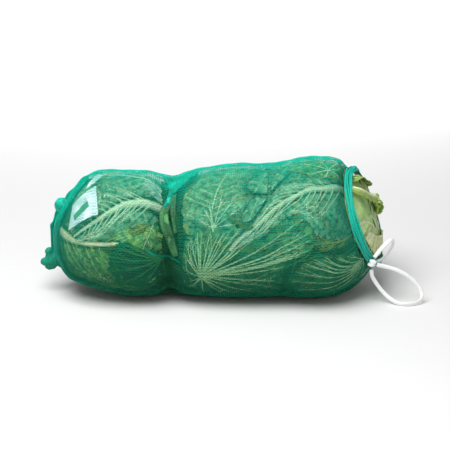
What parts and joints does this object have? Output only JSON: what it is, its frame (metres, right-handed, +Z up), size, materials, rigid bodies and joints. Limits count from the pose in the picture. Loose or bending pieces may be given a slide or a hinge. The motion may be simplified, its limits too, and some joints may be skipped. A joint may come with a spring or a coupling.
{
  "type": "net of cabbages",
  "caption": "Full net of cabbages lying on its side: knitted green net, gathered turquoise hem, leafy head in the open end, card label and white drawstring loop.",
  "frame": {"origin": "on the floor under the middle of the bag's length and width, drawstring left out", "axes": "+X along the bag towards its open mouth, -Y the side with the label and the knot, +Z up"},
  "size_m": [0.669, 0.2506, 0.2415],
  "materials": {
    "net": "open knitted polyethylene netting, turquoise green, satin threads",
    "hem": "net gathered into a dense folded turquoise band",
    "cabbage_head": "waxy pale green cabbage skin with fine veins",
    "leaf_pale": "waxy cream and light green wrapper leaf with raised ribs",
    "leaf_dark": "waxy mid green outer leaf with raised ribs",
    "label": "white card with a plain green field and grey bars, no lettering",
    "tape": "soft white knitted tape"
  },
  "bodies": {
    "root": {"net_bag": "net", "mouth_hem": "hem", "mouth_head": "cabbage_head", "mouth_leaf_back": "leaf_dark", "mouth_leaf_upper": "leaf_pale", "mouth_leaf_lower": "leaf_pale", "mouth_leaf_arch": "leaf_dark", "label_card": "label", "label_fold": "label", "drawstring_knot": "tape", "drawstring_loop": "tape", "drawstring_bow": "tape"}
  },
  "joints": []
}
